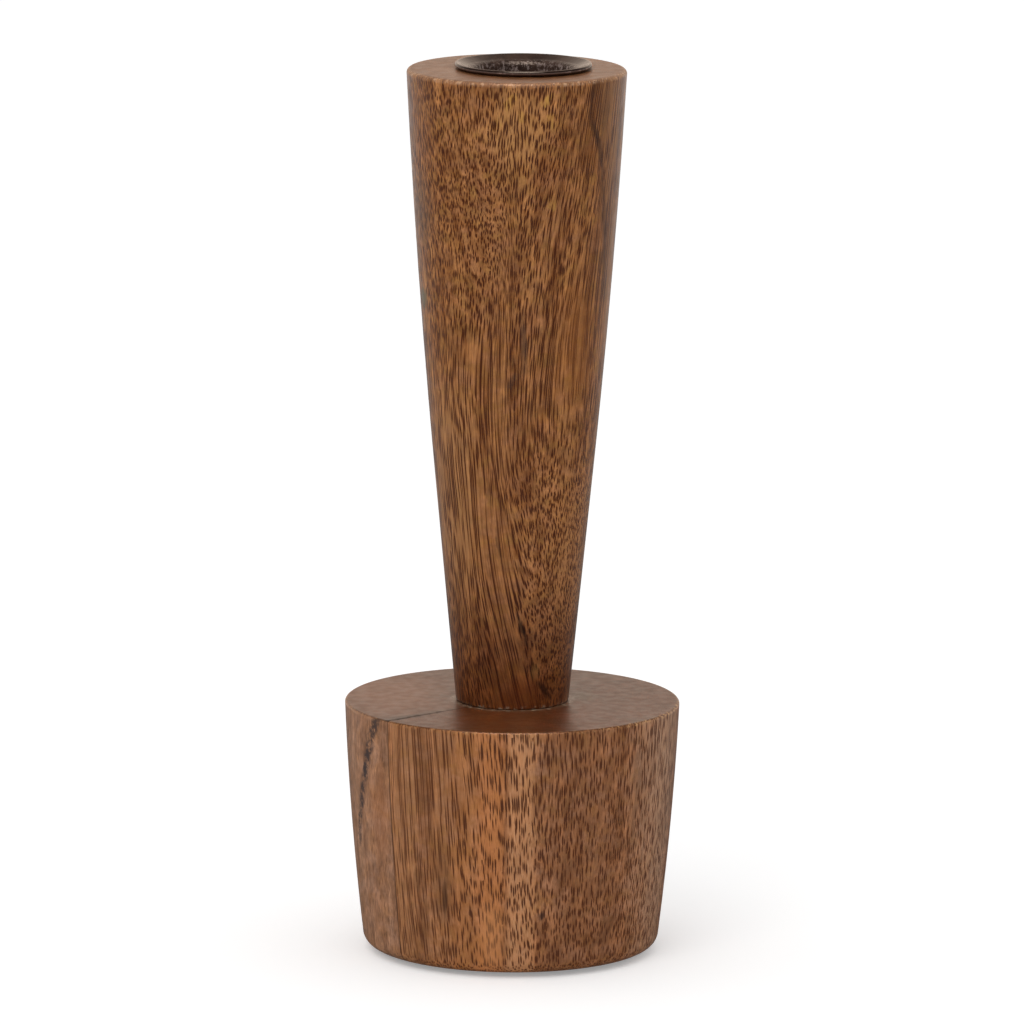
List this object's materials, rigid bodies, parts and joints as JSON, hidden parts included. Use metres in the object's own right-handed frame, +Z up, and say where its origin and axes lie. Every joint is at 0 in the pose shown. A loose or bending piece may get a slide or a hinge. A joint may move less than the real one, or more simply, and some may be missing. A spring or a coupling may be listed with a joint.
{
  "type": "candlestick",
  "caption": "Tapered turned wooden candlestick on a round laminated base, with a flared metal candle cup let into the top.",
  "frame": {"origin": "on the floor, under the middle of the base", "axes": "+Z up along the stem; +X towards the side on which the candle cup sits off centre"},
  "size_m": [0.0756, 0.0756, 0.2024],
  "materials": {
    "stem_wood": "satin clear lacquer on end and side grain",
    "base_left_wood": "satin clear lacquer",
    "base_right_wood": "satin clear lacquer",
    "cup_metal": "dark bronze lacquer, glossy",
    "screw_steel": "zinc plated",
    "pad_felt": "pressed felt"
  },
  "bodies": {
    "stand": {"base_left_half": "base_left_wood", "base_right_half": "base_right_wood", "stem": "stem_wood", "joining_screw": "screw_steel", "screw_washer": "screw_steel", "felt_pad_1": "pad_felt", "felt_pad_2": "pad_felt", "felt_pad_3": "pad_felt", "felt_pad_4": "pad_felt"},
    "cup": {"candle_cup": "cup_metal"}
  },
  "joints": [
    {"name": "cup_lift", "type": "slide", "parent": "stand", "child": "cup", "axis": [0, 0, 1], "range_m": [0, 0.03]}
  ]
}
